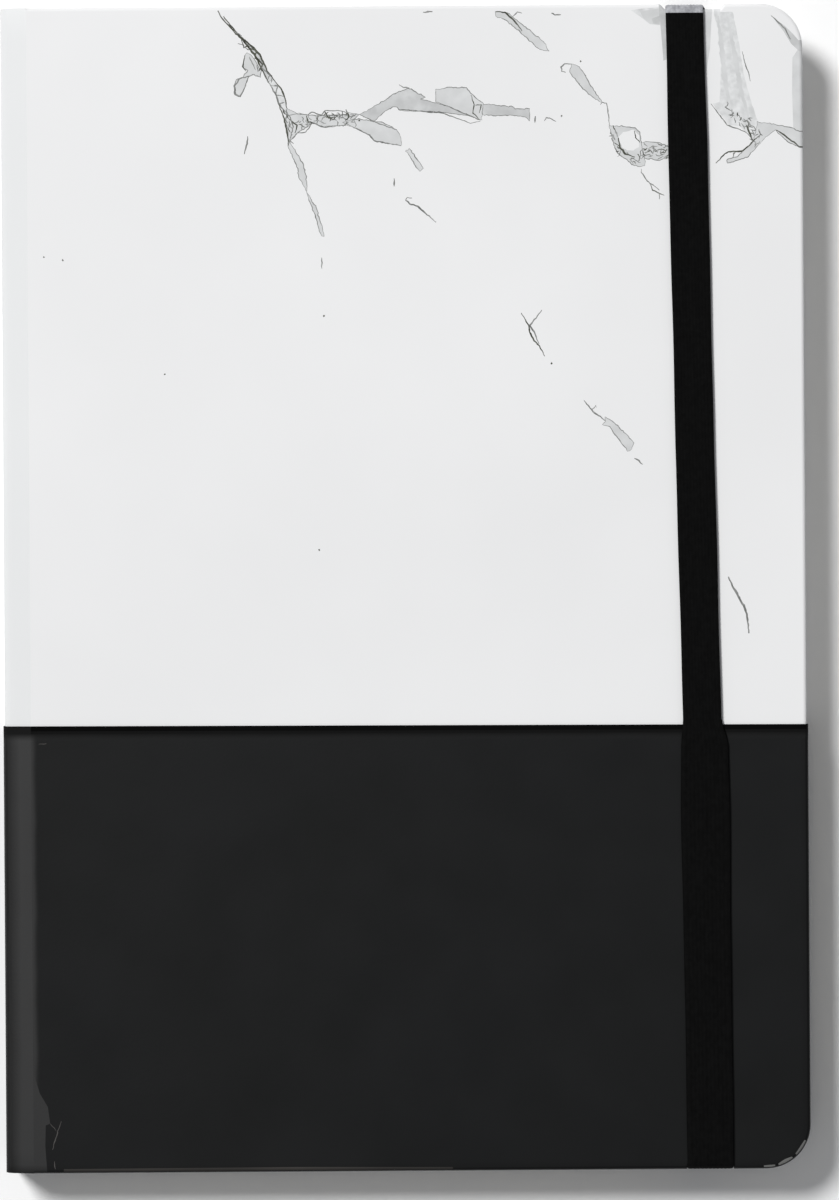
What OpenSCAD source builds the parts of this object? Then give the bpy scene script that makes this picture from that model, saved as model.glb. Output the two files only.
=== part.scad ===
// Hardcover notebook with an elastic closure.
// It lies on its back cover: +X points to the fore-edge, +Y to the head and +Z out of the front cover.
// The origin is under the middle of the back cover. All sizes are in millimetres.

/* [Case] */
// Width of the closed case, from the spine to the fore-edge
cover_w = 145; // [120:1:180]
// Height of the closed case, from the tail to the head
cover_h = 210; // [170:1:250]
// Radius of the case's two corners at the fore-edge
corner_r = 8; // [4:0.5:14]
// Radius of the rolled rim of each cover
edge_r = 0.6; // [0.5:0.1:1.1]
// Thickness of the stiff board in each cover
board_t = 2; // [1.6:0.1:3]

/* [Covering] */
// Thickness of the marble-printed covering
marble_t = 0.4; // [0.3:0.05:0.6]
// Thickness of the black covering, which stands slightly proud of the marble
black_t = 0.7; // [0.6:0.05:0.9]
// Height of the black field, from the tail up to its seam
black_h = 80.5; // [50:0.5:110]
// Width of the covering that is turned in over the inside of a board
turn_in_w = 15; // [10:0.5:20]
// Thickness of the pared covering where it is turned in
turn_in_t = 0.4; // [0.3:0.05:0.6]

/* [Spine and joints] */
// Distance of each cover's hinge line from the face of the spine
hinge_in = 2.4; // [2:0.1:3.5]
// Gap between a board that is folded right back and the face of the spine
fold_back_gap = 0.3; // [0.2:0.05:0.8]
// Fall of the covering from the board's edge down to the spine
shoulder_fall = 1.1; // [0.6:0.1:1.6]
// Distance from a cover's outer face to the end of the card in the spine
spine_start = 2.4; // [2:0.1:3.2]
// Thickness of the card in the spine
spine_card_t = 1.2; // [0.8:0.1:1.5]
// Hollow between the spine's card and the lined back of the pages
spine_hollow = 0.3; // [0.2:0.05:0.5]
// Thickness of the cloth that lines the back of the pages
lining_t = 0.3; // [0.2:0.05:0.5]
// Length of bare page back left at the head and at the tail of the lining
lining_margin = 12; // [6:1:25]

/* [Pages] */
// Thickness of the pressed pages, without the endpapers
pages_t = 8; // [5:0.5:14]
// Number of folded sections that are sewn together
section_count = 8; // [5:1:12]
// Overhang of the case past the pages at the head, the tail and the fore-edge
page_inset = 3; // [2:0.5:5]
// Radius of the pages' two corners at the fore-edge
page_corner_r = 6; // [3:0.5:10]
// Thickness of the endpapers
endpaper_t = 0.2; // [0.15:0.05:0.3]

/* [Elastic band] */
// Width of the woven elastic band
band_w = 7.5; // [5:0.5:12]
// Thickness of the woven elastic band
band_t = 0.8; // [0.6:0.1:1]
// Distance from the fore-edge to the middle of the band
band_from_edge = 20; // [14:0.5:35]
// Distance from the head or the tail to the slit that the band goes through
slit_inset = 6; // [4:0.5:10]
// Length of the band's end that is glued down inside the back cover
band_tab = 14; // [8:0.5:20]
// Clearance on each side of the band in its pressed seat and its slit
band_clearance = 0.3; // [0.1:0.05:0.5]
// Depth of the dents that the band's pull presses into the head and the tail of both covers
edge_dent = 1.2; // [0.9:0.1:1.5]
// Width of those dents, over which the band can shift sideways
dent_w = 11; // [9:0.5:14]

/* [Hidden] */
$fn = 48;

// Colours, as the notebook shows them
marble_colour = [0.91, 0.92, 0.91];
black_colour = [0.13, 0.13, 0.13];
board_colour = [0.55, 0.53, 0.49];
card_colour = [0.72, 0.70, 0.66];
paper_colour = [0.95, 0.93, 0.87];
lining_colour = [0.86, 0.85, 0.80];
band_colour = [0.06, 0.06, 0.06];

// Edge of a board, which the covering wraps
board_x1 = cover_w / 2 - black_t;
board_y = cover_h / 2 - black_t;
board_corner_r = corner_r - black_t;
spine_x = -cover_w / 2;
joint_w = 2 * hinge_in + fold_back_gap;
board_x0 = spine_x + joint_w;
seam_y = black_h - cover_h / 2;

// Levels of a cover's layers, counted from its outer face inwards
board_in_z = black_t + board_t;
turn_in_z = board_in_z + turn_in_t;
cover_z = turn_in_z + endpaper_t;

// Levels of the whole notebook
pages_z = cover_z + endpaper_t;
case_t = 2 * pages_z + pages_t;

// Back of the pages, counted from the face of the spine
card_x0 = spine_x + black_t;
card_x1 = card_x0 + spine_card_t;
lining_x0 = card_x1 + turn_in_t + spine_hollow;
pages_x0 = lining_x0 + lining_t;
pages_x1 = cover_w / 2 - page_inset;
pages_y = cover_h / 2 - page_inset;
section_t = pages_t / section_count;

// Place of the elastic band
band_x = cover_w / 2 - band_from_edge;
slit_y = cover_h / 2 - slit_inset;
dent_y = cover_h / 2 - edge_dent;
seat_w = band_w + 2 * band_clearance;

// Steps in a quarter bend of the covering
bend_steps = 8;
// Share of the shoulder's fall that is straight
shoulder_straight = 0.7;
// Length by which a cutting shape runs past what it cuts
past = 1;

// Plan of a cover or of the pages: square at the spine and rounded at the fore-edge
module rounded_plan(x0, x1, y, r) {
    translate([x0, -y]) square([x1 - x0 - r, 2 * y]);
    translate([x0, r - y]) square([x1 - x0, 2 * (y - r)]);
    for (side = [-1, 1]) translate([x1 - r, side * (y - r)]) circle(r);
}

// Plan of a board, grown outwards on its three free edges
module board_plan(growth) {
    rounded_plan(board_x0, board_x1 + growth, board_y + growth, board_corner_r + growth);
}

// Plan inside a board's three free edges, with corners no tighter than a fold allows
module inner_plan(inset, x0 = board_x0) {
    r = max(board_corner_r - inset, edge_r);
    rounded_plan(x0, board_x1 - inset, board_y - inset, r);
}

module layer(z0, z1) {
    translate([0, 0, z0]) linear_extrude(z1 - z0) children();
}

// Turns what is built as the back cover over to lie as the front cover
module as_front() {
    translate([0, 0, case_t]) mirror([0, 0, 1]) children();
}

// Keeps the part of a covering that lies in the marble field or in the black one
module marble_field() {
    intersection() {
        children();
        translate([-cover_w, seam_y, -past]) cube([2 * cover_w, cover_h, case_t + 2 * past]);
    }
}

module black_field() {
    intersection() {
        children();
        translate([-cover_w, seam_y - cover_h, -past]) cube([2 * cover_w, cover_h, case_t + 2 * past]);
    }
}

// Outline of a wrapped edge in section, with its rolled rim.
// The first axis runs inwards from the board's edge and the second from the outer face inwards.
module wrap_outline(skin_t) {
    z0 = black_t - skin_t;
    depth = turn_in_z - z0;
    translate([edge_r - skin_t, z0]) square([turn_in_w + skin_t - edge_r, depth]);
    translate([-skin_t, z0 + edge_r]) square([turn_in_w + skin_t, depth - 2 * edge_r]);
    for (z = [z0 + edge_r, turn_in_z - edge_r]) translate([edge_r - skin_t, z]) circle(edge_r);
}

// Section of the covering at a board's edge: outer skin, rolled rim and turn-in
module wrap_section(skin_t) {
    difference() {
        wrap_outline(skin_t);
        translate([0, black_t]) square([turn_in_w + past, board_t]);
    }
}

// The same section set out from the middle of a rounded corner, and cut off there
module corner_section(skin_t) {
    intersection() {
        translate([board_corner_r, 0]) mirror([1, 0]) wrap_section(skin_t);
        square([board_corner_r + skin_t, turn_in_z]);
    }
}

// Covering wrapped round a board's head, fore-edge and tail
module wrapped_rim(skin_t) {
    run_x = board_x1 - board_corner_r;
    run_y = board_y - board_corner_r;
    for (side = [0, 1]) mirror([0, side, 0]) {
        translate([board_x0, board_y, 0]) rotate([90, 0, 90]) linear_extrude(run_x - board_x0)
            mirror([1, 0]) wrap_section(skin_t);
        translate([run_x, run_y, 0]) rotate_extrude(angle = 90) corner_section(skin_t);
    }
    translate([board_x1, run_y, 0]) rotate([90, 0, 0]) linear_extrude(2 * run_y)
        mirror([1, 0]) wrap_section(skin_t);
}

// The dents under the band with the walls that the covering lines them with
module dent_block(wall) {
    for (side = [0, 1]) mirror([0, side, 0])
        translate([band_x - dent_w / 2 - wall, dent_y - wall, -past])
            cube([dent_w + 2 * wall, edge_dent + wall + past, case_t]);
}

// What the dents take from a covering, which leaves the same rolled rim further in
module dent_cut(skin_t) {
    shift = edge_dent - black_t + skin_t;
    for (side = [0, 1]) mirror([0, side, 0])
        translate([band_x - dent_w / 2, board_y, 0]) rotate([90, 0, 90]) linear_extrude(dent_w)
            mirror([1, 0]) difference() {
                translate([-skin_t - past, -past])
                    square([shift + edge_r + past, turn_in_z + 2 * past]);
                translate([shift, 0]) wrap_outline(skin_t);
            }
}

// One cover's covering before it is cut into its two fields
module cover_skin(skin_t) {
    difference() {
        union() {
            layer(black_t - skin_t, black_t) inner_plan(turn_in_w / 2);
            wrapped_rim(skin_t);
            intersection() {
                dent_block(skin_t);
                layer(black_t - skin_t / 2, board_in_z + turn_in_t / 2) board_plan(0);
            }
        }
        dent_cut(skin_t);
    }
}

// One cover's board, dented at its head and its tail
module dented_board() {
    difference() {
        layer(black_t, board_in_z) board_plan(0);
        marble_field() dent_block(marble_t);
        black_field() dent_block(black_t);
    }
}

// The seats pressed into the back cover for the band's ends, at the head and at the tail
module seat_block(wall) {
    for (side = [0, 1]) mirror([0, side, 0])
        translate([band_x - seat_w / 2 - wall, slit_y - band_t - band_clearance - wall, 0])
            cube([seat_w + 2 * wall, slit_inset + band_t + band_clearance + wall, band_t + wall]);
}

module seat_cut() {
    for (side = [0, 1]) mirror([0, side, 0])
        translate([band_x - seat_w / 2, slit_y - band_t - band_clearance, -past])
            cube([seat_w, cover_h, band_t + past]);
}

// The slits that let the band's ends through to the inside of the back cover
module slits() {
    for (side = [0, 1]) mirror([0, side, 0])
        translate([band_x - seat_w / 2, slit_y - band_t - band_clearance, -past])
            cube([seat_w, band_t + 2 * band_clearance, board_in_z + past]);
}

// The shallow beds inside the back board where the band's ends are glued
module tab_beds() {
    for (side = [0, 1]) mirror([0, side, 0])
        translate([band_x - seat_w / 2, slit_y - band_tab - band_clearance, board_in_z - band_t])
            cube([seat_w, band_tab, band_t + past]);
}

// Back cover's covering, dipped into the seats of the band
module back_skin(skin_t) {
    difference() {
        union() {
            cover_skin(skin_t);
            intersection() {
                seat_block(skin_t);
                layer(black_t - skin_t, board_in_z) board_plan(0);
            }
        }
        dent_cut(skin_t);
        seat_cut();
        slits();
    }
}

// The covering's bend over a joint, at a depth under its outer face
function bend(a, b, c) =
    [for (i = [0:bend_steps]) let (t = i / bend_steps) (1 - t) * (1 - t) * a + 2 * t * (1 - t) * b + t * t * c];

function joint_line(skin_t, depth) =
    let (
        z0 = black_t - skin_t + depth,
        x0 = spine_x + black_t - skin_t + depth,
        start = [board_x0, z0],
        corner = [x0, z0 + shoulder_fall],
        end = [x0, spine_start]
    )
    concat([start], bend(start + shoulder_straight * (corner - start), corner, end));

function reversed(points) = [for (i = [len(points) - 1:-1:0]) points[i]];

module joint_section(skin_t, depth0, depth1) {
    polygon(concat(joint_line(skin_t, depth0), reversed(joint_line(skin_t, depth1))));
}

// Stretch along Y of a section drawn in the X and Z directions
module along_y(y0, y1) {
    translate([0, y1, 0]) rotate([90, 0, 0]) linear_extrude(y1 - y0) children();
}

// Covering over one joint, doubled where it is turned in at the head and the tail
module joint_skin(skin_t) {
    y = board_y + skin_t;
    along_y(-y, y) joint_section(skin_t, 0, skin_t);
    for (side = [0, 1]) mirror([0, side, 0])
        along_y(y - turn_in_w, y) joint_section(skin_t, 0, skin_t + turn_in_t);
}

// Covering over the spine, wrapped round the ends of the card
module spine_skin(skin_t) {
    x0 = spine_x + black_t - skin_t;
    y = board_y + skin_t;
    card_h = case_t - 2 * spine_start;
    difference() {
        translate([x0, -y, spine_start]) cube([card_x1 + turn_in_t - x0, 2 * y, card_h]);
        translate([card_x0, -board_y, spine_start - past])
            cube([spine_card_t, 2 * board_y, card_h + 2 * past]);
        translate([card_x1 - past, turn_in_w - board_y, spine_start - past])
            cube([turn_in_t + 2 * past, 2 * (board_y - turn_in_w), card_h + 2 * past]);
    }
}

// Endpaper pasted down inside a cover, stepped where it lies over the turned-in covering
module pasted_endpaper() {
    difference() {
        layer(board_in_z, cover_z) rounded_plan(board_x0, pages_x1, pages_y, page_corner_r);
        difference() {
            layer(board_in_z - past, turn_in_z) board_plan(past);
            layer(board_in_z - 2 * past, turn_in_z + past) inner_plan(turn_in_w, board_x0 - past);
        }
        layer(board_in_z + endpaper_t, cover_z + past)
            inner_plan(turn_in_w + endpaper_t, board_x0 - past);
    }
}

// Fold of an endpaper at the back of the pages, and its run over the joint to the board
module folded_endpaper() {
    fold_z = pages_z - endpaper_t;
    along_y(-pages_y, pages_y) {
        intersection() {
            translate([pages_x0, fold_z]) circle(endpaper_t);
            translate([pages_x0 - endpaper_t, cover_z - endpaper_t]) square([endpaper_t, 2 * endpaper_t]);
        }
        polygon([
            [pages_x0, fold_z], [pages_x0, fold_z - endpaper_t],
            [board_x0, board_in_z], [board_x0, board_in_z + endpaper_t]
        ]);
    }
}

module flyleaf(z0) {
    layer(z0, z0 + endpaper_t) rounded_plan(pages_x0, pages_x1, pages_y, page_corner_r);
}

// Section of the pages, with the rounded backs of the folded sections at the spine
module sections_section() {
    back_r = section_t / 2;
    translate([pages_x0 + back_r, pages_z]) square([pages_x1 - pages_x0 - back_r, pages_t]);
    for (i = [0:section_count - 1])
        translate([pages_x0 + back_r, pages_z + (i + 0.5) * section_t]) circle(back_r);
}

module page_block() {
    color(paper_colour) intersection() {
        along_y(-pages_y, pages_y) sections_section();
        layer(pages_z - past, pages_z + pages_t + past)
            rounded_plan(pages_x0 - past, pages_x1, pages_y, page_corner_r);
    }
}

module front_flyleaf() {
    color(paper_colour) flyleaf(pages_z + pages_t);
}

module back_flyleaf() {
    color(paper_colour) flyleaf(pages_z - endpaper_t);
}

module spine_lining() {
    y = pages_y - lining_margin;
    color(lining_colour) translate([lining_x0, -y, pages_z]) cube([lining_t, 2 * y, pages_t]);
}

module spine_card() {
    color(card_colour) translate([card_x0, -board_y, spine_start])
        cube([spine_card_t, 2 * board_y, case_t - 2 * spine_start]);
}

module spine_marble_covering() {
    color(marble_colour) marble_field() spine_skin(marble_t);
}

module spine_black_covering() {
    color(black_colour) black_field() spine_skin(black_t);
}

module front_board() {
    color(board_colour) as_front() dented_board();
}

module front_marble_covering() {
    color(marble_colour) as_front() marble_field() cover_skin(marble_t);
}

module front_black_covering() {
    color(black_colour) as_front() black_field() cover_skin(black_t);
}

module front_pastedown() {
    color(paper_colour) as_front() pasted_endpaper();
}

module front_marble_joint() {
    color(marble_colour) as_front() marble_field() joint_skin(marble_t);
}

module front_black_joint() {
    color(black_colour) as_front() black_field() joint_skin(black_t);
}

module front_endpaper_fold() {
    color(paper_colour) as_front() folded_endpaper();
}

module back_board() {
    color(board_colour) difference() {
        dented_board();
        marble_field() seat_block(marble_t);
        black_field() seat_block(black_t);
        slits();
        tab_beds();
    }
}

module back_marble_covering() {
    color(marble_colour) marble_field() back_skin(marble_t);
}

module back_black_covering() {
    color(black_colour) black_field() back_skin(black_t);
}

module back_pastedown() {
    color(paper_colour) pasted_endpaper();
}

module back_marble_joint() {
    color(marble_colour) marble_field() joint_skin(marble_t);
}

module back_black_joint() {
    color(black_colour) black_field() joint_skin(black_t);
}

module back_endpaper_fold() {
    color(paper_colour) folded_endpaper();
}

// Section of the band along its length, from the middle of the front to a glued end
module band_section() {
    out_y = dent_y + band_t;
    out_z = case_t + band_t;
    turn_r = edge_r + band_t;
    difference() {
        union() {
            translate([0, case_t]) square([out_y - turn_r, band_t]);
            translate([out_y - turn_r, out_z - turn_r]) circle(turn_r);
            translate([dent_y, band_t]) square([band_t, out_z - turn_r - band_t]);
            translate([dent_y, band_t]) circle(band_t);
        }
        translate([0, band_t]) square([dent_y, out_z - turn_r - band_t]);
        translate([0, 0]) square([out_y - turn_r, case_t]);
        translate([out_y - turn_r, out_z - turn_r]) circle(edge_r);
    }
    translate([slit_y - band_t, 0]) square([dent_y - slit_y + band_t, band_t]);
    translate([slit_y - band_t, 0]) square([band_t, board_in_z]);
    translate([slit_y - band_tab, board_in_z - band_t]) square([band_tab, band_t]);
}

module elastic_band() {
    color(band_colour) for (side = [0, 1]) mirror([0, side, 0])
        translate([band_x - band_w / 2, 0, 0]) rotate([90, 0, 90]) linear_extrude(band_w)
            band_section();
}

page_block();
front_flyleaf();
back_flyleaf();
spine_lining();
spine_card();
spine_marble_covering();
spine_black_covering();
front_board();
front_marble_covering();
front_black_covering();
front_pastedown();
front_marble_joint();
front_black_joint();
front_endpaper_fold();
back_board();
back_marble_covering();
back_black_covering();
back_pastedown();
back_marble_joint();
back_black_joint();
back_endpaper_fold();
elastic_band();
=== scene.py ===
# Dresses the hardcover notebook: coverings, print, joints, leaves, band, stage, light and camera.
import random
from math import atan2, ceil, cos, hypot, pi, radians, sin, sqrt, tan, tau

import bmesh
import bpy
import numpy as np
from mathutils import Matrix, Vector
from mathutils.geometry import delaunay_2d_cdt


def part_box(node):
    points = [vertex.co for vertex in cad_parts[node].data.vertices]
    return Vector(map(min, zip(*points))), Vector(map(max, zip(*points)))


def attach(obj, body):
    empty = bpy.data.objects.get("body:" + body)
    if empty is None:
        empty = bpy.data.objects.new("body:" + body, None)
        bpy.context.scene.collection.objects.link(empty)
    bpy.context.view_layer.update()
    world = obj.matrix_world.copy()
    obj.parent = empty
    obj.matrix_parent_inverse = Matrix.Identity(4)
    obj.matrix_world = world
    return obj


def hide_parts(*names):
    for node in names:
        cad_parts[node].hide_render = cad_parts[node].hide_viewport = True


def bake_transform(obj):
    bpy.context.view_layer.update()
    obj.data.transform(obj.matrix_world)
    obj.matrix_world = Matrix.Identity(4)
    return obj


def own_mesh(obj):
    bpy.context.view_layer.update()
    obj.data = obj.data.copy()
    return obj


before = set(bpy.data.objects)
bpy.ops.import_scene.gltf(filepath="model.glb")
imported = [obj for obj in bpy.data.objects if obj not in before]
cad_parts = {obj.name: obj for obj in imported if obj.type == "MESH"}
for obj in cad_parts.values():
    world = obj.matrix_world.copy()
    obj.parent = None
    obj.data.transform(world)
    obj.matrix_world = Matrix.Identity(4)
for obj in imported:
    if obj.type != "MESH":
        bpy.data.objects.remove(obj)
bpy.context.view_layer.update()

MM = 0.001
TINY = 1e-7

# Sizes that the boxes of the nodes don't give
RIM_R = 0.6 * MM
CORNER_R = 8 * MM
TURN_IN_W = 15 * MM
TURN_IN_T = 0.4 * MM
SHOULDER_FALL = 1.1 * MM
SHOULDER_STRAIGHT = 0.7
PAGE_CORNER_R = 6 * MM
SECTION_COUNT = 8
SLIT_INSET = 6 * MM
BAND_TAB = 14 * MM
EDGE_DENT = 1.2 * MM
DENT_W = 11 * MM

# Places and sizes from the boxes of the nodes
MARBLE_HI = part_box("front_marble_covering")[1]
BLACK_LO, BLACK_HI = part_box("front_black_covering")
BOARD_LO, BOARD_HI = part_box("front_board")
PAGES_LO, PAGES_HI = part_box("page_block")
BAND_LO, BAND_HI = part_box("elastic_band")
SPINE_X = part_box("spine_marble_covering")[0].x
COVER_X, COVER_Y = BLACK_HI.x, -BLACK_LO.y
CASE_T = BLACK_HI.z
MARBLE_T = MARBLE_HI.z - BOARD_HI.z
BLACK_T = BLACK_HI.z - BOARD_HI.z
BOARD_CORNER_R = CORNER_R - BLACK_T
BAND_X = (BAND_LO.x + BAND_HI.x) / 2
BAND_W = BAND_HI.x - BAND_LO.x
BAND_T = BAND_HI.z - CASE_T

SEAM_Y = BLACK_HI.y
# The seam falls by this much from the joint to the fore-edge
SEAM_TILT = 0.5 * MM
SEAM_SLOPE = SEAM_TILT / (BOARD_HI.x - BOARD_LO.x)

# The band's line over the front, in mm: place along Y, how far aside, and share of its width
BAND_PLACES = (-105, -60, -40, -28, -24.5, 25, 79, 105)
BAND_ASIDES = (1.9, 1.5, 1.4, 1.35, 0.95, -0.2, -1.0, -1.55)
# Over the black field the band is drawn wider than over the marble, so that its black also covers the shadow
# beside it
BAND_WIDTHS = (1.11, 1.15, 1.18, 1.14, 0.93, 0.93, 0.94, 0.91)


def seam_at(x):
    """The seam's Y on the front cover."""
    return SEAM_Y - SEAM_SLOPE * (x - BOARD_LO.x)


def band_line(y):
    """How far aside the band lies at a place along Y, and the share of its width."""
    aside = np.interp(y / MM, BAND_PLACES, BAND_ASIDES) * MM
    return aside, np.interp(y / MM, BAND_PLACES, BAND_WIDTHS)


def quarter_turn(steps):
    """Angles from 0 to a right angle."""
    return [i * pi / 2 / steps for i in range(steps + 1)]


# Colours and shader nodes
def srgb(red, green, blue):
    """Linear colour, with alpha, of a display colour from 0 to 255."""
    channels = [c / 255 for c in (red, green, blue)]
    return tuple(c / 12.92 if c <= 0.04045 else ((c + 0.055) / 1.055) ** 2.4 for c in channels) + (1.0,)


def grey(level):
    return srgb(level, level, level)


def add_node(tree, kind, inputs=None, **settings):
    """Adds a shader node, sets its settings, and links or sets its inputs."""
    node = tree.nodes.new("ShaderNode" + kind)
    for key, value in settings.items():
        setattr(node, key, value)
    for key, value in (inputs or {}).items():
        if isinstance(value, bpy.types.NodeSocket):
            tree.links.new(value, node.inputs[key])
        else:
            node.inputs[key].default_value = value
    return node


def new_material(name, specular, roughness=0.5):
    """A material, its tree, its shader and the object coordinates."""
    material = bpy.data.materials.new(name)
    material.use_nodes = True
    tree = material.node_tree
    shader = tree.nodes["Principled BSDF"]
    shader.inputs["Specular IOR Level"].default_value = specular
    shader.inputs["Roughness"].default_value = roughness
    coords = add_node(tree, "TexCoord").outputs["Object"]
    return material, tree, shader, coords


def noise(tree, coords, size, detail=2.0, roughness=0.5, stretch=(1, 1, 1)):
    """Noise with features of this size in metres, longer where stretch is more."""
    scale = tuple(1 / s for s in stretch)
    mapped = add_node(tree, "Mapping", {"Vector": coords, "Scale": scale}).outputs["Vector"]
    settings = {"Vector": mapped, "Scale": 1 / size, "Detail": detail, "Roughness": roughness}
    return add_node(tree, "TexNoise", settings).outputs["Fac"]


def ramp(tree, factor, stops):
    """Colours along a factor, from stops of (place, colour)."""
    node = add_node(tree, "ValToRGB", {"Fac": factor})
    elements = node.color_ramp.elements
    while len(elements) < len(stops):
        elements.new(0.5)
    for element, (place, colour) in zip(elements, stops):
        element.position = place
        element.color = colour
    return node.outputs["Color"]


def between(tree, factor, low, high, spread=0.4):
    """A colour from low to high over a spread about the factor's middle."""
    return ramp(tree, factor, [(0.5 - spread / 2, low), (0.5 + spread / 2, high)])


def map_range(tree, value, from_range, to_range):
    """Maps one range to another, held at the ends."""
    names = ("Value", "From Min", "From Max", "To Min", "To Max")
    settings = dict(zip(names, (value, *from_range, *to_range)))
    return add_node(tree, "MapRange", settings, clamp=True).outputs["Result"]


def mix_colour(tree, factor, colour_a, colour_b):
    """Colour a at 0 and colour b at 1. The node's colour sockets are 6, 7 and 2."""
    return add_node(tree, "Mix", {0: factor, 6: colour_a, 7: colour_b}, data_type="RGBA").outputs[2]


def maths(tree, operation, a, b=0.0):
    return add_node(tree, "Math", {0: a, 1: b}, operation=operation).outputs[0]


def paint(tree, shader, colour):
    tree.links.new(colour, shader.inputs["Base Color"])


def bump(tree, shader, *layers):
    """Bumps the shader by layers of (height, depth in metres)."""
    normal = None
    for height, depth in layers:
        inputs = {"Height": height, "Distance": depth, "Strength": 1.0}
        if normal is not None:
            inputs["Normal"] = normal
        normal = add_node(tree, "Bump", inputs).outputs["Normal"]
    tree.links.new(normal, shader.inputs["Normal"])


# Materials. Pairs are the size of a feature and its depth
PRINT_FIBRE = (0.25 * MM, 0.004 * MM)
PRINT_WAVE = (30 * MM, 0.05 * MM)
GRAIN_CELL = (0.45 * MM, 0.005 * MM)
GRAIN_FINE = (0.3 * MM, 0.003 * MM)
LEAF_GRAIN = (0.3 * MM, 0.01 * MM)
BOARD_FLECK = (0.5 * MM, 0.03 * MM)
PAPER_FIBRE = (0.4 * MM, 0.006 * MM)
PAPER_DRIFT = 20 * MM
BLACK_DRIFT = 25 * MM
BLACK_WEAR = 12 * MM
LEAF_STREAK = 0.12 * MM
STREAK_STRETCH = (60, 60, 1)
WEAVE_DEPTH = 0.06

# The black covering is dark and rough at the seam and fades between these distances from it
SEAM_DARK_TO, SEAM_DARK_FROM = 1.6 * MM, 2.9 * MM
SEAM_ROUGHER = 0.35
NOISE_SPAN, BLACK_ROUGHNESS = (0.3, 0.7), (0.42, 0.48)
DARKEST = grey(2)
# It darkens to this share over this width along its outer edge
MARGIN_W = 1.6 * MM
MARGIN_DARK = 0.75
TONE_SWAY, TONE_SWAY_SIZE = 0.7 * MM, 9 * MM


def marble_print(name, low, high, patch_size):
    """Coated paper with a printed tone that drifts in soft patches."""
    material, tree, shader, coords = new_material(name, specular=0.15, roughness=0.42)
    paint(tree, shader, between(tree, noise(tree, coords, patch_size, 3), low, high))
    fibre = noise(tree, coords, PRINT_FIBRE[0], 3)
    wave = noise(tree, coords, PRINT_WAVE[0])
    bump(tree, shader, (fibre, PRINT_FIBRE[1]), (wave, PRINT_WAVE[1]))
    return material


def outer_margin(tree, place):
    """How dark the black covering is along its outer edge and round its corner."""
    past_x = maths(tree, "MAXIMUM", maths(tree, "SUBTRACT", place["X"], COVER_X - CORNER_R))
    past_y = maths(tree, "MAXIMUM", maths(tree, "SUBTRACT", CORNER_R - COVER_Y, place["Y"]))
    past = add_node(tree, "CombineXYZ", {"X": past_x, "Y": past_y}).outputs[0]
    reach = add_node(tree, "VectorMath", {0: past}, operation="LENGTH").outputs["Value"]
    return map_range(tree, reach, (CORNER_R - MARGIN_W, CORNER_R), (0, MARGIN_DARK))


def tones_across(tree, coords, place, own_tone, across):
    """Painted light and shade along X, as (x in mm, level), over the covering's own tone up to the last."""
    places = [x * MM for x, _ in across]
    first, last = places[0], places[-1]
    sway = maths(tree, "SUBTRACT", noise(tree, coords, TONE_SWAY_SIZE, 2), 0.5)
    swayed = maths(tree, "ADD", place["X"], maths(tree, "MULTIPLY", sway, TONE_SWAY))
    along = map_range(tree, swayed, (first, last), (0, 1))
    shares = [(x - first) / (last - first) for x in places]
    tones = [(share, grey(level)) for share, (_, level) in zip(shares, across)]
    laid = [(share, grey(255)) for share in shares[:-1]] + [(shares[-1], grey(0))]
    return mix_colour(tree, ramp(tree, along, laid), own_tone, ramp(tree, along, tones))


def black_covering(name, low, high, across=None):
    """Leather-like black coating with a fine grain and darker edges."""
    material, tree, shader, coords = new_material(name, specular=0.2)
    place = add_node(tree, "SeparateXYZ", {"Vector": coords}).outputs
    level = maths(tree, "ADD", place["Y"], maths(tree, "MULTIPLY", place["X"], SEAM_SLOPE))
    near_seam = map_range(tree, level, (SEAM_Y - SEAM_DARK_FROM, SEAM_Y - SEAM_DARK_TO), (0, 1))
    tone = between(tree, noise(tree, coords, BLACK_DRIFT, 3), low, high)
    # Painted highlight and shade along X, where tones across are given
    if across:
        tone = tones_across(tree, coords, place, tone, across)
    dark = maths(tree, "MAXIMUM", near_seam, outer_margin(tree, place))
    paint(tree, shader, mix_colour(tree, dark, tone, DARKEST))
    worn = map_range(tree, noise(tree, coords, BLACK_WEAR, 4), NOISE_SPAN, BLACK_ROUGHNESS)
    roughness = maths(tree, "ADD", worn, maths(tree, "MULTIPLY", near_seam, SEAM_ROUGHER))
    tree.links.new(roughness, shader.inputs["Roughness"])
    cell_settings = {"Vector": coords, "Scale": 1 / GRAIN_CELL[0]}
    cells = add_node(tree, "TexVoronoi", cell_settings, feature="SMOOTH_F1").outputs["Distance"]
    fine = noise(tree, coords, GRAIN_FINE[0], 3)
    bump(tree, shader, (cells, GRAIN_CELL[1]), (fine, GRAIN_FINE[1]))
    return material


def woven(name, low, high, thread, level=0.2):
    """Woven cloth of threads that cross along X and Y."""
    material, tree, shader, coords = new_material(name, specular=level, roughness=0.8)
    place = add_node(tree, "SeparateXYZ", {"Vector": coords}).outputs
    pitch = tau / thread
    across = maths(tree, "SINE", maths(tree, "MULTIPLY", place["X"], pitch))
    along = maths(tree, "SINE", maths(tree, "MULTIPLY", place["Y"], pitch))
    paint(tree, shader, between(tree, noise(tree, coords, thread * 2, 2), low, high, 0.3))
    bump(tree, shader, (maths(tree, "MULTIPLY", across, along), thread * WEAVE_DEPTH))
    return material


def paper(name, low, high, level=0.25):
    """Uncoated paper, or another matt surface, with a faint fibre."""
    material, tree, shader, coords = new_material(name, specular=level, roughness=0.8)
    paint(tree, shader, between(tree, noise(tree, coords, PAPER_DRIFT, 3), low, high))
    bump(tree, shader, (noise(tree, coords, PAPER_FIBRE[0], 4), PAPER_FIBRE[1]))
    return material


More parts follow.
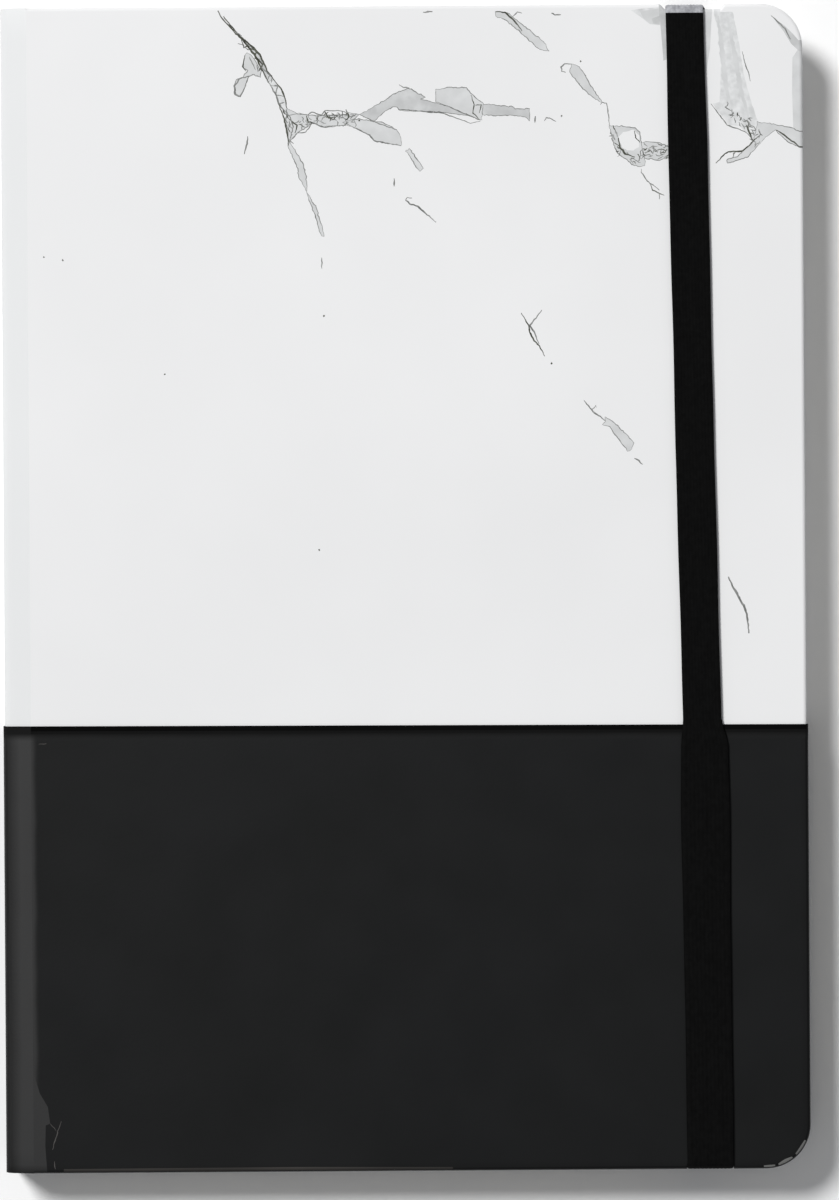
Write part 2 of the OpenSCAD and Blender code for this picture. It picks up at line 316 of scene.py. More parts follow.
def leaf_edges(name, low, high):
    """Edges of the leaves: the paper's tone changes from leaf to leaf."""
    material, tree, shader, coords = new_material(name, specular=0.2, roughness=0.85)
    streak = noise(tree, coords, LEAF_STREAK, 1, stretch=STREAK_STRETCH)
    paint(tree, shader, between(tree, streak, low, high, 0.5))
    bump(tree, shader, (noise(tree, coords, LEAF_GRAIN[0], 3), LEAF_GRAIN[1]))
    return material


def raw_board(name, low, high):
    """Raw board with flecks of its fibres."""
    material, tree, shader, coords = new_material(name, specular=0.2, roughness=0.9)
    fleck = noise(tree, coords, BOARD_FLECK[0], 5, 0.7)
    paint(tree, shader, between(tree, fleck, low, high, 0.3))
    bump(tree, shader, (fleck, BOARD_FLECK[1]))
    return material


PRINT = marble_print("marble_print", grey(232), grey(236), 45 * MM)
# Painted shade: the print on the joints is a little darker than on the covers
PRINT_JOINT_SHADE = marble_print("marble_print_joint_shade", srgb(221, 222, 222), srgb(224, 225, 225), 45 * MM)
TONES = {
    "print": PRINT,
    "mist": marble_print("vein_mist", srgb(204, 205, 205), srgb(228, 229, 229), 1.2 * MM),
    "fill": marble_print("vein_fill", srgb(203, 204, 204), srgb(216, 217, 217), 3 * MM),
    "shade": marble_print("vein_shade", srgb(188, 189, 189), srgb(208, 209, 209), 2 * MM),
    "edge": marble_print("vein_edge", srgb(98, 100, 97), srgb(150, 151, 149), 0.8 * MM),
    "dark": marble_print("vein_dark", srgb(50, 52, 43), srgb(94, 96, 86), 0.8 * MM),
}

# Painted highlight and shade along X, as (x in mm, level), beside the joint and on it: the lit shoulder, its
# highlight fading onto the cover, and the shaded rounded edge at the spine
HINGE_HIGHLIGHT = [(-68, 46), (-67.2, 46), (-66.9, 39), (-66.1, 12)]
JOINT_LIGHT_AND_SHADE = [(-72.5, 15), (-72, 18), (-71.6, 31), (-71.2, 26), (-70.4, 36), (-69.4, 46), (-67.5, 46)]
BLACK_LOW, BLACK_HIGH = srgb(12, 13, 13), srgb(14, 15, 16)
BLACK_SPINE = black_covering("black_spine", BLACK_LOW, BLACK_HIGH)
BLACK = black_covering("black_covering", BLACK_LOW, BLACK_HIGH, HINGE_HIGHLIGHT)
# Painted highlight where the joint's lit strip spreads onto the cover near the tail
BLACK_SPREAD_HIGHLIGHT = black_covering("black_spread_highlight", grey(44), grey(48))
# Painted highlight on the joint's black covering, with painted shade at the spine's rounded edge
BLACK_JOINT_LIT = black_covering("black_joint_lit", grey(44), grey(48), JOINT_LIGHT_AND_SHADE)
# Painted reflection along the tail's rim
BLACK_RIM_REFLECTION = black_covering("black_rim_reflection", srgb(52, 50, 48), srgb(72, 69, 66))
BLACK_SEAM = paper("black_seam", grey(2), grey(5), 0.06)
BLACK_NEAR_SEAM = paper("black_near_seam", grey(7), grey(10), 0.12)
# Painted highlight along the creases, which are drawn only as light lines
BLACK_CREASE_HIGHLIGHT = paper("black_crease_highlight", srgb(66, 64, 62), srgb(84, 82, 80))
BLACK_GLINT = paper("black_glint", srgb(80, 80, 79), srgb(118, 118, 116))

BOARD = raw_board("grey_board", srgb(128, 124, 116), srgb(152, 148, 139))
CARD = raw_board("spine_card", srgb(176, 171, 160), srgb(196, 191, 180))
ENDPAPER = paper("endpaper", srgb(238, 233, 219), srgb(244, 240, 228))
PAPER = paper("pages", srgb(238, 232, 215), srgb(245, 240, 225))
LEAF_EDGES = leaf_edges("leaf_edges", srgb(214, 206, 186), srgb(244, 238, 222))
LINING = woven("lining_cloth", srgb(208, 205, 194), srgb(224, 221, 211), 0.5 * MM)
ELASTIC_THREAD = 0.35 * MM
ELASTIC = woven("elastic", grey(6), grey(11), ELASTIC_THREAD, 0.06)
# Painted highlight on the band's bend over the head edge
ELASTIC_BEND_HIGHLIGHT = woven("elastic_bend_highlight", srgb(148, 149, 153), srgb(182, 183, 187), ELASTIC_THREAD, 0.06)


# Veins of the print, and painted shade beside the band and at the rims. Points are x, y after x, y: mm from
# the spine's face and from the head.
# Neighbours of one kind share an entry, and later shapes lie over earlier ones.
VEIN_SEED = 41

# Half widths of lines
HAIR, THIN, BOLD = 0.11, 0.155, 0.19
PATCH_LINE = 0.8 * HAIR
CRACK_LINE = 0.85 * HAIR
# A line wavers at points so far apart and thins towards its tips
JITTER_STEP, JITTER = 0.5, 0.07
LINE_TIP, LINE_THINNEST = 0.06, 0.35
LINE_WAVER = (0.7, 1.15)

# Painted shade of the pucker and the valleys beside the band, of the rim at the fore-edge and of the head's
# corner, in the print's tones
SHADED = [
    ("mist", [113.6, 1.1, 115.5, 0.8, 118.6, 0.6, 118.8, 3.8, 117, 3.6, 115.2, 2.2]),
    ("fill", [115.2, 1.3, 118.7, 0.8, 118.8, 3.8, 117, 3.6, 115.8, 2.5]),
    ("shade", [117.3, 2.6, 118.8, 2.1, 118.8, 3.7, 117.6, 3.5],
     [118.6, 0.4, 121, 0.4, 121, 9.5, 119.4, 10.2, 119, 5, 118.7, 2]),
    ("fill", [125, 0.3, 128.3, 0.5, 128, 4, 127.8, 8, 127.3, 11, 126.8, 14, 125, 17]),
    ("shade", [125, 0.3, 126.4, 0.4, 126.2, 4, 126.5, 11, 126.8, 16.5, 126.2, 19, 125, 19]),
    ("fill", [142.6, 9.8, 143.8, 8, 146, 7.5, 146, 23.4, 142.7, 23.2, 142.5, 16]),
    ("shade", [139.2, 2.6, 141.2, 4, 142.8, 5.6, 144, 7, 146, 8.5, 146, 10.5, 144.2, 9, 142.4, 7.3, 141, 5]),
]

# Patches of the veins, as (tone, closed outlines)
PATCHES = [
    ("shade", [42.2, 4.4, 43, 5.1, 45.4, 7.2, 46.8, 8.7, 48.1, 11.5, 49.3, 13.2, 48.3, 13.6, 47, 10.9,
     46, 8.9, 44.9, 7.4, 43.5, 5.7]),
    ("mist", [48.3, 13.6, 49.3, 13.2, 50.8, 15.1, 51.4, 17, 51.6, 18.3, 51.6, 20, 51.1, 18.7, 50.1, 17.5,
     49.7, 16]),
    ("fill", [44.5, 8.3, 45.2, 8.6, 46, 9.9, 47, 11.5, 46.9, 12.7, 45.5, 12.2, 44.9, 12.5, 44.3, 13.8,
     43.6, 15.5, 42.9, 16.2, 42.2, 15.7, 42.1, 14.2, 42.6, 13.1, 43.8, 12.7, 44.5, 11.5, 43.7, 10.8,
     44.1, 8.7],
     [52, 24.3, 53.2, 26.2, 54.5, 28.5, 55, 30.7, 55.1, 33.4, 54.6, 32.3, 53.7, 30.9, 53.5, 29.2, 52.5, 27,
     51.8, 25.1],
     [55.1, 33.4, 56.8, 36.2, 57.6, 39.2, 58.2, 41.4, 57.7, 41.4, 57.2, 40, 56.5, 37.5, 55.5, 34.9],
     [51.6, 18.3, 53.7, 19.4, 57.8, 19.7, 64.6, 19.5, 62.4, 21.4, 58.2, 21.7, 56.1, 21.1, 53.5, 22.8,
     52, 24.3, 51.4, 21]),
    ("shade", [64.6, 19.5, 66.3, 18.7, 68.2, 17.6, 71, 15.8, 73.5, 14.8, 76.5, 16.5, 75.6, 16.8, 80.5, 18.1,
     84.5, 19.9, 79.4, 19.2, 71.8, 18.7, 71.1, 18.1, 69.2, 18.9, 67.3, 20.8]),
    ("fill", [61.6, 20.9, 64.5, 20.3, 68.8, 21, 71.3, 22.3, 72.2, 24, 72.1, 25.2, 67.3, 24.3, 66.4, 23.3,
     64.5, 22.2],
     [78.4, 15.1, 80.7, 14.8, 83.9, 14.8, 84.7, 15.8, 86.9, 17.6, 86.6, 20.7, 86, 20.6, 84.7, 19.9,
     78.4, 17.3]),
    ("shade", [86.9, 17.8, 92.4, 18.3, 92.6, 18.7, 95.3, 18.6, 95.2, 20.9, 94.5, 20.2, 91.7, 19.8,
     88.7, 19.9, 86.7, 19.7]),
    ("fill", [72.9, 26.2, 73.6, 27, 75, 29.3, 75.5, 29.8, 76.1, 29.2, 75.1, 27.9, 73.6, 25.6],
     [89.2, 1.2, 91, 1.2, 92.3, 2.1, 96.5, 5.5, 98, 6.8, 98.8, 8.3, 97.1, 8.1, 93.5, 4.7, 91, 2.7, 89.3, 2],
     [102.9, 10.7, 104.3, 11.2, 105.3, 12.6, 106.3, 14.7, 108.4, 17.6, 107.4, 17.2, 105.9, 16.1, 104.3, 14.5,
     102.5, 12.1],
     [109.6, 21.9, 111.8, 21.9, 114.1, 22.2, 115, 23, 115.3, 24.5, 115.5, 26.1, 116, 28.2, 115.9, 29.1,
     114.7, 29.2, 113.6, 28.8, 112, 27.5, 110.8, 26.5, 110.3, 25.2, 110, 23.6]),
    ("print", [111.2, 24, 112, 23, 113.9, 22.6, 114.9, 23.6, 114.9, 25.7, 113.9, 26.3, 112.8, 26.3,
     111.8, 25.7]),
    ("fill", [115.3, 24.9, 117, 24.7, 119, 25.1, 120.6, 25.7, 120.6, 27.6, 118.2, 28.2, 116.9, 27.8,
     115.9, 27.8]),
    ("mist", [128.5, 1.5, 131.9, 1.5, 133, 6.9, 133.9, 13.1, 135.2, 18, 136.4, 21.3, 136.5, 23.8,
     135.5, 24.6, 133.1, 22.1, 131.2, 21.9, 129, 19.2, 128.2, 18, 129.4, 17.6, 129.6, 15.5, 129.9, 7.7]),
    ("fill", [136.2, 21.3, 139.7, 21.8, 142.5, 22.4, 144.2, 23.3, 144.2, 26.1, 141.7, 24.9, 139.4, 22.8,
     137.6, 24.2, 135.9, 25.9, 134.5, 27.5, 133, 28.1, 130.9, 28.7, 130.7, 28.1, 132.6, 27.5, 133.8, 26.3,
     135.5, 24.8],
     [108.5, 75.1, 108.5, 74.2, 109.7, 74.9, 111.7, 76.8, 113.7, 78.8, 112.9, 80.3, 112.4, 80.3, 110.3, 77.4,
     109.3, 75.9, 108, 75.6]),
]

# Crackle along a line: (points, spread to each side, number of cracks, how many in ten are dark)
CRACKLES = [
    ([42, 4.2, 46, 9.5, 49, 14], 0.4, 10, 2),
    ([50.5, 15.5, 51.8, 21, 52, 24], 0.4, 12, 2),
    ([51.8, 21, 56, 20.5, 60, 20.2, 64.5, 20.2], 0.8, 46, 2),
    ([110.4, 23, 111, 25.5, 113.5, 28.2, 115.5, 28.6], 0.56, 16, 3),
    ([115.3, 26.3, 118, 26.5, 120.6, 26.6], 1.12, 34, 4),
    ([130.3, 17, 132.5, 20, 135.5, 23], 1.12, 20, 0),
    ([133, 20, 135.5, 23.5], 0.64, 8, 5),
    ([131, 28.2, 134.5, 26.5, 137, 23.5], 0.4, 8, 2),
]
CRACK_PLACES = 0.25
CRACK_STEPS = 4
CRACK_STEP = 0.42
CRACK_WAVER = (0.5, 1.2)
CRACK_TURN = 0.8
CRACK_STRAY = 0.4

# Lines of the veins, as (tone, greatest half width, lines)
STROKES = [
    ("fill", 0.5, [129.2, 2.2, 129.9, 8, 130.5, 14, 131.4, 19]),
    ("fill", 0.45, [131.1, 3, 132.2, 9, 133.2, 15, 134.6, 20.5]),
    ("dark", BOLD, [39.3, 0.7, 40.2, 2.3, 42.2, 4.4, 43.5, 5.7, 44.9, 7.4, 46, 8.9, 47, 10.9, 48.3, 13.6],
     [40.3, 1.7, 43, 5.1, 45.4, 7.2, 46.8, 8.7, 48.1, 11.5, 49.3, 13.2]),
    ("dark", THIN, [49.3, 13.2, 50.8, 15.1, 51.4, 17, 51.6, 18.3]),
    ("edge", HAIR, [42.2, 4.4, 43.6, 5.3]),
    ("dark", HAIR, [43.5, 5.7, 43.9, 7.4, 45.2, 7]),
    ("dark", THIN, [44.9, 7.4, 46.2, 8, 45.9, 9.4],
     [46, 8.9, 47.3, 10.4, 46.6, 11.6]),
    ("edge", HAIR, [47, 10.9, 48.6, 12.3, 48, 13.4],
     [48.6, 14.2, 49.9, 14.3, 49.6, 15.9, 51, 16.2],
     [50.1, 17.5, 51.2, 17.2]),
    ("dark", HAIR, [44.1, 8.7, 43.7, 10.8, 44.3, 11.6]),
    ("edge", THIN, [45.9, 12.2, 44.9, 12.5, 43.2, 12.9, 42.2, 14.2, 42.3, 15.7, 43.2, 16.2, 43.9, 14.9,
     44.6, 13]),
    ("edge", HAIR, [44.9, 9, 46, 11.4]),
    ("dark", THIN, [52, 20.3, 53.4, 21.4, 53, 22.8],
     [55.1, 19.7, 55.4, 20.8, 56.6, 21],
     [58.4, 18.9, 59.1, 20.1, 60.2, 20],
     [62.2, 18.6, 62.8, 20, 62.1, 20.6]),
    ("edge", HAIR, [64.6, 19.5, 67.5, 20.9, 71.3, 22.3],
     [62.4, 21.4, 64.5, 22.2, 66.4, 23.3, 67.3, 24.3, 72.1, 25.2],
     [71.8, 18.8, 79.4, 19.3, 84.5, 21.2, 86.4, 20.9]),
    ("edge", THIN, [48.3, 13.6, 49.7, 16, 50.1, 17.5, 51.1, 18.7, 51.6, 20]),
    ("dark", THIN, [50.1, 17.5, 51.1, 20.2, 51.7, 23, 51.8, 25.1]),
    ("edge", HAIR, [51.2, 18.7, 52.2, 20, 52.7, 21.7, 52.3, 23.2, 52, 24.3],
     [51.8, 19.6, 53.7, 19.2, 55.2, 19.6, 56.1, 19, 57.8, 19.6, 58.4, 18.8, 60.7, 18.8, 64.6, 19.5],
     [52, 24.3, 53.5, 22.8, 55, 22.6, 56.1, 20.9, 58.2, 21.8, 60.3, 21.6, 62.4, 21.4],
     [71.8, 14.2, 72.7, 14.7, 73.7, 14.8]),
    ("dark", HAIR, [84.7, 16.1, 85.3, 17.8, 85.1, 19.4, 86.4, 20.7],
     [85.5, 18, 86.6, 17.9, 86.2, 19.4]),
    ("edge", HAIR, [80.5, 18.1, 84.5, 19.9, 86.4, 20.7]),
    ("edge", THIN, [96.3, 20, 96.2, 21.2]),
    ("edge", HAIR, [97.9, 20.9, 98.3, 20.3, 98.9, 20.4, 100, 21]),
    ("edge", THIN, [44.5, 23.3, 44.4, 24.6, 43.9, 26.5],
     [70.8, 31, 70.8, 32.5],
     [74, 34.6, 73.1, 34.5, 72.9, 35, 73.5, 35.6, 75, 36.1, 76.7, 37.6, 78.3, 39],
     [76.2, 1.2, 77.9, 1.1]),
    ("dark", THIN, [89.2, 1.2, 91, 1.3, 92.7, 3, 94, 4.7]),
    ("edge", HAIR, [92.3, 2.1, 93.2, 1.3, 94, 1.5]),
    ("edge", THIN, [99.3, 1.5, 99.9, 1.8, 101, 1.8],
     [101.8, 12.2, 101.1, 12, 101, 11.2, 101.6, 10.7, 102.9, 10.7]),
    ("edge", HAIR, [108, 18, 108.4, 17.6, 109.1, 17.8, 109.4, 19.5, 109.6, 21.9]),
    ("dark", BOLD, [111.2, 24, 111.5, 25.7, 112.4, 26.9, 114.1, 27.5]),
    ("dark", HAIR, [114.1, 22.8, 114.3, 24, 115.1, 24.9]),
    ("edge", HAIR, [115.3, 29.6, 115.3, 30.2, 116.1, 31.5, 116.9, 32.3, 117.9, 32.9, 118.5, 33.5]),
    ("dark", HAIR, [116.9, 32.3, 117.3, 33.5, 118.5, 34, 119.4, 34.4]),
    ("edge", HAIR, [118.5, 34, 118.5, 35.1],
     [127.9, 18, 128.8, 19.2, 129.8, 20.5, 130.8, 21.9, 132.6, 22.5, 134.3, 23.2, 135.5, 24.6]),
    ("dark", BOLD, [134.3, 21.9, 134.7, 23, 135.3, 24.6]),
    ("dark", THIN, [128.7, 28.7, 130.1, 27.3, 131, 26.6, 133.6, 26.5, 135.1, 25.2, 136.5, 23.8],
     [139.6, 22.8, 141.3, 23.9, 144.2, 26.1]),
    ("edge", HAIR, [133.6, 8.6, 134, 10.6, 134.7, 12.5, 135, 14]),
    ("dark", THIN, [93.5, 55.4, 94.9, 57.7, 95, 58.8, 95.8, 60.4, 96.8, 61.4, 97.7, 63.2]),
    ("edge", THIN, [97.2, 54.9, 95.1, 57.7, 96, 59.2, 96.7, 61],
     [104.7, 71.2, 105.5, 72.2, 106.3, 73.2, 107.3, 73.9, 108.5, 74.9]),
    ("edge", HAIR, [106.1, 73.1, 106.8, 72.1, 106.9, 72.5]),
    ("edge", THIN, [113.7, 81.7, 114.5, 82.1, 115.2, 82.8]),
    ("edge", 0.24, [130.5, 103.1, 131.2, 104.7, 132.2, 106.5, 133.2, 108.3, 133.8, 109.9, 134.1, 113.3]),
    ("edge", HAIR, [57.7, 45.2, 57.7, 47.2]),
    # Painted shade: a dark line along the head's corner, beside the shade wedge of SHADED
    ("edge", THIN, [138.8, 2.2, 141.3, 4.5, 142.3, 6.5]),
]

DOTS = [
    (7.7, 44.8), (11.1, 45.4), (58, 55.7), (29.3, 66), (56.9, 97.8), (98.9, 64.5), (104.5, 10.2), (101, 20),
    (62.3, 19.4), (64.6, 20.6),
]
DOT_R = 0.17
DOT_CORNERS = 7
DOT_JITTER = 0.05


def pairs(numbers):
    """Points from x, y, x, y and so on."""
    return list(zip(numbers[::2], numbers[1::2]))


def entries(table):
    """(tone, points) of each outline in a table."""
    return [(tone, pairs(outline)) for tone, *outlines in table for outline in outlines]


def resample(points, step):
    """Points along a line, no further apart than step."""
    out = [np.array(points[0], float)]
    for a, b in zip(points, points[1:]):
        a, b = np.array(a, float), np.array(b, float)
        count = max(1, ceil(np.linalg.norm(b - a) / step))
        out += [a + (b - a) * i / count for i in range(1, count + 1)]
    return out


def jittered(points, rng, amount=JITTER, closed=False):
    """The points moved a little, apart from the ends of an open line."""
    ends = () if closed else (0, len(points) - 1)
    out = []
    for i, point in enumerate(points):
        aside = 0.0 if i in ends else np.array([rng.uniform(-amount, amount), rng.uniform(-amount, amount)])
        out.append(point + aside)
    return out


def stroke_outline(points, half_width, rng):
    """Outline of a pen stroke that swells and thins."""
    line = jittered(resample(points, JITTER_STEP), rng)
    last = len(line) - 1
    left, right = [], []
    for i, point in enumerate(line):
        direction = line[min(i + 1, last)] - line[max(i - 1, 0)]
        normal = np.array([-direction[1], direction[0]]) / max(np.linalg.norm(direction), TINY)
        share = min(max(i / last, LINE_TIP), 1 - LINE_TIP)
        swell = LINE_THINNEST + (1 - LINE_THINNEST) * sin(pi * share)
        width = half_width * swell * rng.uniform(*LINE_WAVER)
        left.append(point + normal * width)
        right.append(point - normal * width)
    return left + right[::-1]


def crack_lines(points, spread, count, rng):
    """Short wandering cracks scattered along a line."""
    line = resample(points, CRACK_PLACES)
    for _ in range(count):
        place = rng.randrange(1, len(line))
        along = line[place] - line[place - 1]
        crack = [line[place] + np.array([rng.uniform(-spread, spread), rng.uniform(-spread, spread)])]
        heading = atan2(along[1], along[0]) + rng.gauss(0, CRACK_STRAY) + pi * rng.randrange(2)
        for _ in range(rng.randint(2, CRACK_STEPS)):
            heading += rng.uniform(-CRACK_TURN, CRACK_TURN)
            step = CRACK_STEP * rng.uniform(*CRACK_WAVER)
            crack.append(crack[-1] + step * np.array([cos(heading), sin(heading)]))
        yield crack


def patch_shapes(rng):
    """The patches, most of them with an outline drawn in two strokes."""
    for tone, outline in entries(PATCHES):
        edge = jittered(resample(outline + outline[:1], JITTER_STEP)[:-1], rng, closed=True)
        yield tone, edge
        if tone not in ("print", "mist"):
            half = len(edge) // 2
            for part in (edge[: half + 1], edge[half:] + edge[:1]):
                yield "edge", stroke_outline(part, PATCH_LINE, rng)


def crackle_shapes(rng):
    for numbers, spread, count, dark in CRACKLES:
        for i, crack in enumerate(crack_lines(pairs(numbers), spread, count, rng)):
            yield "dark" if i % 10 < dark else "edge", stroke_outline(crack, CRACK_LINE, rng)


def dot_shapes(rng):
    angles = [i * tau / DOT_CORNERS for i in range(DOT_CORNERS)]
    for x, y in DOTS:
        ring = [np.array([x + DOT_R * cos(a), y + DOT_R * sin(a)]) for a in angles]
        yield "dark", jittered(ring, rng, DOT_JITTER, closed=True)


def print_and_shade_shapes():
    """(tone, closed outline) of everything in the print, and of the painted shade beside the band and at the
    rims, lowest layer first.
    """
    rng = random.Random(VEIN_SEED)
    shapes = entries(SHADED)
    shapes += patch_shapes(rng)
    shapes += crackle_shapes(rng)
    for tone, half_width, *lines in STROKES:
        shapes += [(tone, stroke_outline(pairs(line), half_width, rng)) for line in lines]
    shapes += dot_shapes(rng)
    return shapes


# Meshes
SHARP_ANGLE = radians(35)
MERGE = 1e-6
CDT_MERGE = 1e-5


def inside(points, outline):
    """Which points a closed outline winds round."""
    outline = np.array(outline)
    result = np.zeros(len(points), bool)
    lo, hi = outline.min(0), outline.max(0)
    near = np.where(((points >= lo) & (points <= hi)).all(1))[0]
    x, y = points[near].T
    winding = np.zeros(len(near), int)
    for a, b in zip(outline, np.roll(outline, -1, 0)):
        side = (b[0] - a[0]) * (y - a[1]) - (x - a[0]) * (b[1] - a[1])
        winding += (a[1] <= y) & (b[1] > y) & (side > 0)
        winding -= (a[1] > y) & (b[1] <= y) & (side < 0)
    result[near] = winding != 0
    return result


def triangulate(outline, shapes):
    """Triangles of an outline that follow its shapes, and the material index of each."""
    points, edges = [], []
    for loop in [outline] + [shape for _, shape in shapes]:
        first, count = len(points), len(loop)
        points += [(float(x), float(y)) for x, y in loop]
        edges += [(first + i, first + (i + 1) % count) for i in range(count)]
    verts, _, faces, *_ = delaunay_2d_cdt(points, edges, [], 0, CDT_MERGE)
    verts = np.array([tuple(v) for v in verts])
    centres = np.array([verts[list(face)].mean(0) for face in faces])
    index = np.zeros(len(faces), int)
    for material, shape in shapes:
        index[inside(centres, shape)] = material
    kept = inside(centres, outline)
    return verts, [tuple(face) for face, keep in zip(faces, kept) if keep], index[kept]


def border_edges(faces, tones):
    """The edges that only one face has, as (start, end, that face's tone)."""
    uses = {}
    for face, tone in zip(faces, tones):
        for a, b in zip(face, face[1:] + face[:1]):
            uses.setdefault(frozenset((a, b)), []).append((a, b, tone))
    return [use[0] for use in uses.values() if len(use) == 1]


def join_rings(bm, rings, smooth=True, index=0):
    """Faces between each two rings that follow each other."""
    for a, b in zip(rings, rings[1:]):
        for i in range(len(a)):
            after = (i + 1) % len(a)
            face = bm.faces.new([a[i], a[after], b[after], b[i]])
            face.smooth = smooth
            face.material_index = index


def finish_mesh(name, bm, materials):
    """A mesh object of a bmesh, cleaned and linked to the scene."""
    bmesh.ops.remove_doubles(bm, verts=bm.verts, dist=MERGE)
    bmesh.ops.dissolve_degenerate(bm, dist=TINY, edges=bm.edges)
    loose = [v for v in bm.verts if not v.link_faces]
    bmesh.ops.delete(bm, geom=loose, context="VERTS")
    bmesh.ops.recalc_face_normals(bm, faces=bm.faces)
    for edge in bm.edges:
        edge.smooth = edge.calc_face_angle(0.0) < SHARP_ANGLE
    mesh = bpy.data.meshes.new(name)
    bm.to_mesh(mesh)
    bm.free()
    for material in materials:
        mesh.materials.append(material)
    piece = bpy.data.objects.new(name, mesh)
    bpy.context.scene.collection.objects.link(piece)
    return piece


# Front cover
RIM_STEPS = 6
CORNER_STEPS = 14
DENT_STEPS = 48
# A dent in the edge is (middle, half width, blend at its sides, depth)
HEAD_DENT = (BAND_X, DENT_W / 2 + MARBLE_T, 1 * MM, EDGE_DENT - BLACK_T + MARBLE_T)
DENT_GAP = 0.12 * MM
# Steps of the rim that carry on the face's shapes
MARBLE_STEPS = 4 * RIM_STEPS
BLACK_STEPS = RIM_STEPS // 3


def rim_section(depth):
    """The rolled rim as (distance out from the flat, depth under the outer face)."""
    angles = quarter_turn(RIM_STEPS)
    upper = [(RIM_R * sin(a), RIM_R * (1 - cos(a))) for a in angles]
    lower = [(RIM_R * cos(a), depth - RIM_R + RIM_R * sin(a)) for a in angles]
    return upper + lower


def dent_at(x, dent):
    """How deep a dent is at a place along the edge."""
    middle, half, blend, depth = dent
    share = min(max((half - abs(x - middle)) / blend, 0.0), 1.0)
    return depth * share * share * (3 - 2 * share)


def face_outline(side, edge_x, edge_y, radius, dent):
    """Outline of a field's flat face, from the seam round to the dented edge."""
    outline = [(x, seam_at(x) * side) for x in (BOARD_LO.x, edge_x)]
    for a in quarter_turn(CORNER_STEPS):
        outline.append((edge_x - radius + radius * cos(a), edge_y - radius + radius * sin(a)))
    middle, half = dent[:2]
    for i in range(DENT_STEPS + 1):
        x = middle + half - 2 * half * i / DENT_STEPS
        outline.append((x, edge_y - dent_at(x, dent)))
    return outline + [(BOARD_LO.x, edge_y)]


def board_covering(name, side, skin_t, materials, shapes, shape_steps, dent):
    """The covering of one field of the front cover, over the board's rim and turned in.
    The field at the tail has the side -1 and is built mirrored. Shapes are in mm in the
    unmirrored plan and go on over so many steps of the rim."""
    top = BOARD_HI.z + skin_t
    depth = skin_t + (BOARD_HI.z - BOARD_LO.z) + TURN_IN_T
    edge_x, edge_y = BOARD_HI.x + skin_t - RIM_R, BOARD_HI.y + skin_t - RIM_R
    radius = BOARD_CORNER_R + skin_t - RIM_R
    corner_x, corner_y = edge_x - radius, edge_y - radius
    outline = face_outline(side, edge_x, edge_y, radius, dent)
    points, faces, tones = triangulate([(x / MM, y / MM) for x, y in outline], shapes)
    points = points * MM

    def on_rim(i):
        x, y = points[i]
        past_corner = x > corner_x and y > corner_y
        return past_corner or x > edge_x - TINY or y > edge_y - dent[-1] - TINY

    def outwards(x, y):
        if x > corner_x and y > corner_y:
            length = hypot(x - corner_x, y - corner_y)
            return (x - corner_x) / length, (y - corner_y) / length
        return (1.0, 0.0) if x > edge_x - TINY else (0.0, 1.0)

    bm = bmesh.new()
    outer, inner = {}, {}

    def add(key, place, drop, inner_place, inner_drop):
        for skin, (x, y), fall in ((outer, place, drop), (inner, inner_place, inner_drop)):
            skin[key] = bm.verts.new((x, side * y, top - fall))

    section = rim_section(depth)
    last = len(section)
    for i in sorted({i for face in faces for i in face}):
        add((i, 0), points[i], 0.0, points[i], skin_t)
    rim = [(a, b, tone) for a, b, tone in border_edges(faces, tones) if on_rim(a) and on_rim(b)]
    for i in sorted({i for a, b, _ in rim for i in (a, b)}):
        x, y = points[i]
        out_x, out_y = outwards(x, y)
        for level, (out, drop) in enumerate(section[1:], 1):
            held = min(out, RIM_R - skin_t)
            inner_drop = min(max(drop, skin_t), depth - TURN_IN_T)
            place = (x + out_x * out, y + out_y * out)
            add((i, level), place, drop, (x + out_x * held, y + out_y * held), inner_drop)
        turned_in = (min(x, BOARD_HI.x - TURN_IN_W), min(y, BOARD_HI.y - TURN_IN_W))
        add((i, last), turned_in, depth, turned_in, depth - TURN_IN_T)

    rings = [([(i, 0) for i in face], tone, False) for face, tone in zip(faces, tones)]
    for a, b, tone in rim:
        for level in range(last):
            ring = [(a, level), (b, level), (b, level + 1), (a, level + 1)]
            rings.append((ring, tone if level < shape_steps else 0, level < last - 1))
    for ring, tone, smooth in rings:
        for skin, keys, index in ((outer, ring, tone), (inner, ring[::-1], 0)):
            face = bm.faces.new([skin[key] for key in keys])
            face.material_index = int(index)
            face.smooth = smooth
    for a, b, tone in border_edges([ring for ring, _, _ in rings], [tone for _, tone, _ in rings]):
        face = bm.faces.new([outer[b], outer[a], inner[a], inner[b]])
        face.material_index = int(tone)
    return finish_mesh(name, bm, materials)


def make_front_marble():
    tones = list(TONES)
    shapes = [
        (tones.index(tone), [(SPINE_X / MM + u, MARBLE_HI.y / MM - v) for u, v in outline])
        for tone, outline in print_and_shade_shapes()
    ]
    materials = TONES.values()
    piece = board_covering("front_marble", 1, MARBLE_T, materials, shapes, MARBLE_STEPS, HEAD_DENT)
    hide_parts("front_marble_covering")
    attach(piece, "front_cover")


BLACK_MATERIALS = [BLACK, BLACK_SPREAD_HIGHLIGHT, BLACK_RIM_REFLECTION, BLACK_SEAM, BLACK_NEAR_SEAM, BLACK_CREASE_HIGHLIGHT, BLACK_GLINT]
# Painted highlights on the black field, in mm on the cover: where the joint's lit strip spreads near the
# tail, the reflection along the tail's rim, and creases drawn only as light lines
SPREAD_HIGHLIGHT = [
    (-67.6, -86), (-66.2, -90.6), (-64.8, -93), (-64.4, -96), (-65.2, -96.3), (-65.3, -100), (-64.9, -106),
    (-67.6, -106),
]
